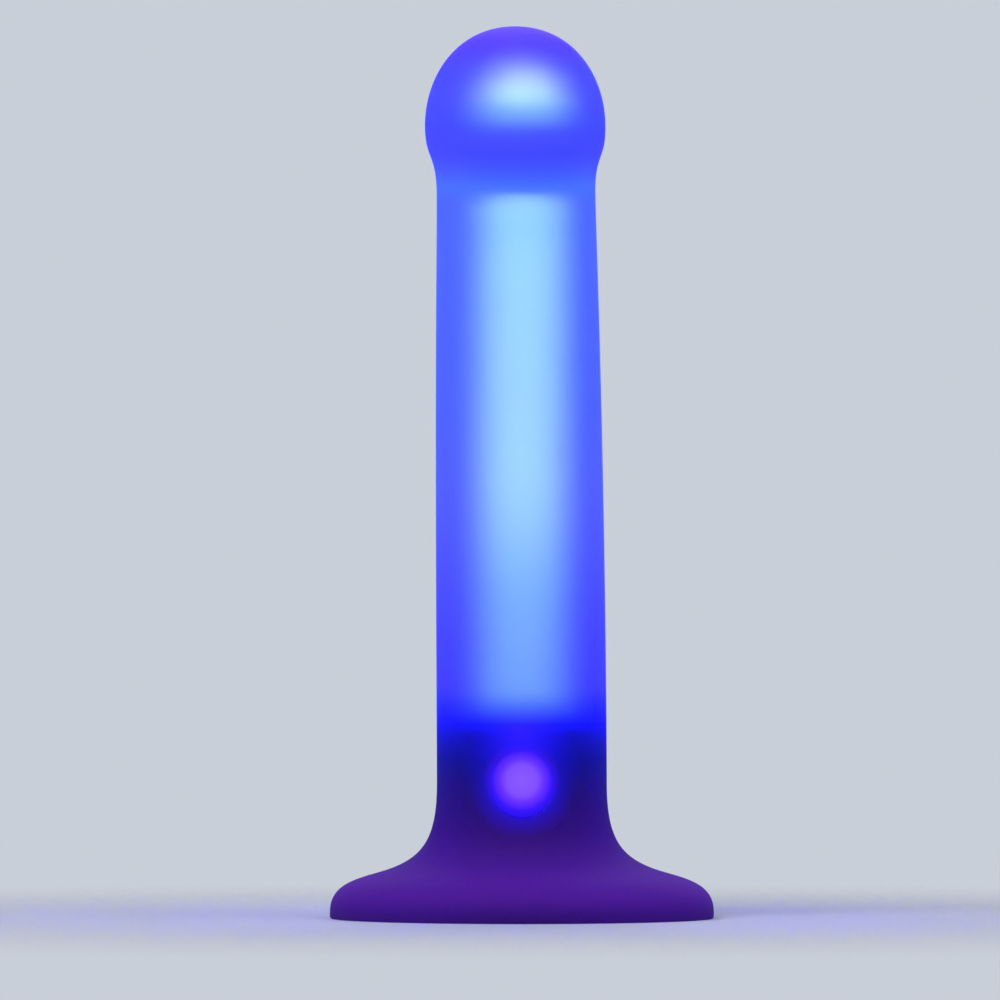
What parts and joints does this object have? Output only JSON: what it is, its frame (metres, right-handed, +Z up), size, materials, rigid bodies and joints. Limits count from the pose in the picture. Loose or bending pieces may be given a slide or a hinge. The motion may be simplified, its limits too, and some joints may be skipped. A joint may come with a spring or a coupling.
{
  "type": "light-up silicone massager",
  "caption": "Free-standing personal massager for adults: soft translucent silicone sleeve with a ball head and a flared base over a lit core, one push button.",
  "frame": {"origin": "centre of the round underside, on the surface it stands on", "axes": "+Z up along the shaft to the head, -Y the front, the side with the button, +X to the right seen from the front"},
  "size_m": [0.086, 0.086, 0.2],
  "materials": {
    "sleeve_silicone": "satin, translucent silicone, violet",
    "clear_polycarbonate": "clear moulded",
    "stamped_steel": "stamped, satin",
    "black_nylon": "moulded",
    "black_abs": "moulded, fine texture",
    "violet_abs": "moulded, fine texture",
    "milky_abs": "moulded, fine texture",
    "zinc_steel": "zinc plated",
    "seal_rubber": "smooth",
    "gold_plate": "gold plated",
    "nickel_plate": "nickel plated",
    "cell_wrap": "shrink wrap",
    "foam": "closed-cell foam",
    "green_laminate": "solder mask",
    "white_laminate": "white solder mask",
    "black_epoxy": "moulded epoxy",
    "chip_ceramic": "sintered",
    "led_package": "lit silicone dome",
    "frosted_tube": "frosted, lit from inside",
    "frosted_lens": "frosted, lit from inside",
    "white_nylon": "moulded",
    "bronze": "sintered",
    "ground_steel": "ground",
    "tungsten_weight": "sintered tungsten alloy",
    "wire_jacket": "silicone wire jacket"
  },
  "bodies": {
    "core": {"sleeve": "sleeve_silicone", "tact_switch_body": "stamped_steel", "housing_front": "black_abs", "housing_rear": "black_abs", "base_cap": "violet_abs", "cap_screws": "zinc_steel", "housing_screws": "zinc_steel", "pod_screws": "zinc_steel", "base_seal": "seal_rubber", "charge_contacts": "gold_plate", "charge_springs": "gold_plate", "dock_magnets": "nickel_plate", "battery_cell": "cell_wrap", "cell_tabs": "nickel_plate", "cell_foam_pad": "foam", "control_board": "green_laminate", "control_chips": "black_epoxy", "control_passives": "chip_ceramic", "button_leds": "led_package", "link_pins": "gold_plate", "light_tube": "frosted_tube", "led_strip_board": "white_laminate", "column_leds": "led_package", "strip_holder": "black_nylon", "wire_sockets": "white_nylon", "motor_pod_lower": "milky_abs", "motor_pod_upper": "milky_abs", "motor_can": "stamped_steel", "motor_end_cap": "black_nylon", "motor_terminals": "nickel_plate", "motor_bush": "bronze", "motor_wires": "wire_jacket", "head_wire": "wire_jacket", "head_lens": "frosted_lens", "head_led_board": "white_laminate", "head_leds": "led_package"},
    "button": {"button_pad": "sleeve_silicone", "button_plunger": "clear_polycarbonate"},
    "switch_actuator": {"tact_switch_actuator": "black_nylon"},
    "rotor": {"motor_shaft": "ground_steel", "eccentric_weight": "tungsten_weight"}
  },
  "joints": [
    {"name": "button_press", "type": "slide", "parent": "core", "child": "button", "axis": [0, 1, 0], "range_m": [0, 0.0005], "stiffness_N_per_m": 2000, "springref_m": -0.0004},
    {"name": "tact_press", "type": "slide", "parent": "core", "child": "switch_actuator", "axis": [0, 1, 0], "range_m": [0, 0.0005]},
    {"name": "motor_spin", "type": "hinge", "parent": "core", "child": "rotor", "pos_m": [0, 0, 0.16985], "axis": [1, 0, 0], "continuous": true}
  ],
  "couplings": [
    {"joint": "tact_press", "follows": "button_press", "ratio": 1}
  ]
}
